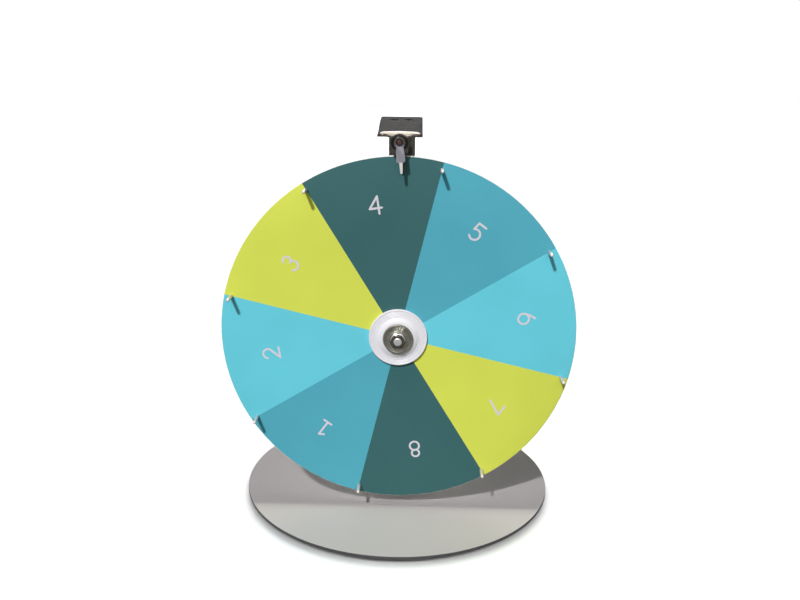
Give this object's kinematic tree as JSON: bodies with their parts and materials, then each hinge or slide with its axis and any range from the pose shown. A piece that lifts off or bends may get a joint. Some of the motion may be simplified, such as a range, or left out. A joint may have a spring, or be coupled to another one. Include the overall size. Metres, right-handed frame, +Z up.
{
  "type": "tabletop game spinner",
  "caption": "Upright numbered dial with a ring of pegs, turning on an axle in front of a post over a round flat base, with a sprung pointer hanging from an arm above it.",
  "frame": {"origin": "centre of the base's footprint on the table, under its feet", "axes": "+X to the right as the player sees the dial, -Y the way the dial faces, +Z up"},
  "size_m": [0.406, 0.384, 0.4603],
  "materials": {
    "base_paint": "satin silver-grey paint on steel",
    "dark_nickel": "polished dark nickel plate",
    "nickel": "polished nickel plate",
    "zinc": "zinc plated, satin",
    "bearing_steel": "ground and polished",
    "white_board": "white foamed PVC board, sawn edge",
    "printed_face": "matt printed vinyl in four colours, eight sectors",
    "white_plastic": "moulded, turned rings, satin gloss",
    "pointer_metal": "stamped, satin",
    "bronze": "dull sintered bronze",
    "black_steel": "black oxide",
    "spring_steel": "drawn wire",
    "rubber": "matt black"
  },
  "bodies": {
    "stand": {"arm_screw_left": "dark_nickel", "arm_screw_right": "dark_nickel", "axle_bolt": "zinc", "axle_nut": "nickel", "base_foot_1": "rubber", "base_foot_2": "rubber", "base_foot_3": "rubber", "base_foot_4": "rubber", "base_plate": "base_paint", "bearing_spacer": "zinc", "cup_washer": "dark_nickel", "flange_screw_1": "zinc", "flange_screw_2": "zinc", "flange_screw_3": "zinc", "flange_screw_4": "zinc", "front_inner_race": "bearing_steel", "pivot_nut": "zinc", "pivot_screw": "bronze", "pivot_spacer": "bronze", "plug_screw_1": "zinc", "plug_screw_2": "zinc", "pointer_arm": "dark_nickel", "post": "dark_nickel", "post_flange": "dark_nickel", "post_plug": "zinc", "rear_inner_race": "bearing_steel", "rear_washer": "zinc", "return_spring": "spring_steel", "spacer_sleeve": "nickel", "spring_cup": "black_steel"},
    "wheel": {"front_hub": "white_plastic", "front_outer_race": "bearing_steel", "hub_screw_1": "zinc", "hub_screw_2": "zinc", "hub_screw_3": "zinc", "hub_screw_4": "zinc", "peg_1": "nickel", "peg_2": "nickel", "peg_3": "nickel", "peg_4": "nickel", "peg_5": "nickel", "peg_6": "nickel", "peg_7": "nickel", "peg_8": "nickel", "peg_nut_1": "zinc", "peg_nut_2": "zinc", "peg_nut_3": "zinc", "peg_nut_4": "zinc", "peg_nut_5": "zinc", "peg_nut_6": "zinc", "peg_nut_7": "zinc", "peg_nut_8": "zinc", "printed_face": "printed_face", "rear_hub": "white_plastic", "rear_outer_race": "bearing_steel", "wheel_board": "white_board"},
    "ball_cages": {"front_ball_cage": "bearing_steel", "rear_ball_cage": "bearing_steel"},
    "pointer": {"pointer": "pointer_metal", "pointer_bush": "bronze"}
  },
  "joints": [
    {"name": "wheel_spin", "type": "hinge", "parent": "stand", "child": "wheel", "pos_m": [0, -0.079, 0.2223], "axis": [0, -1, 0], "continuous": true},
    {"name": "cage_spin", "type": "hinge", "parent": "stand", "child": "ball_cages", "pos_m": [0, -0.079, 0.2223], "axis": [0, -1, 0], "continuous": true},
    {"name": "pointer_swing", "type": "hinge", "parent": "stand", "child": "pointer", "pos_m": [-0.001, -0.091, 0.4397], "axis": [0, -1, 0], "range_deg": [-50, 50], "stiffness_Nm_per_rad": 0.02, "deforming": ["return_spring"]}
  ],
  "couplings": [
    {"joint": "cage_spin", "follows": "wheel_spin", "ratio": 0.6}
  ]
}
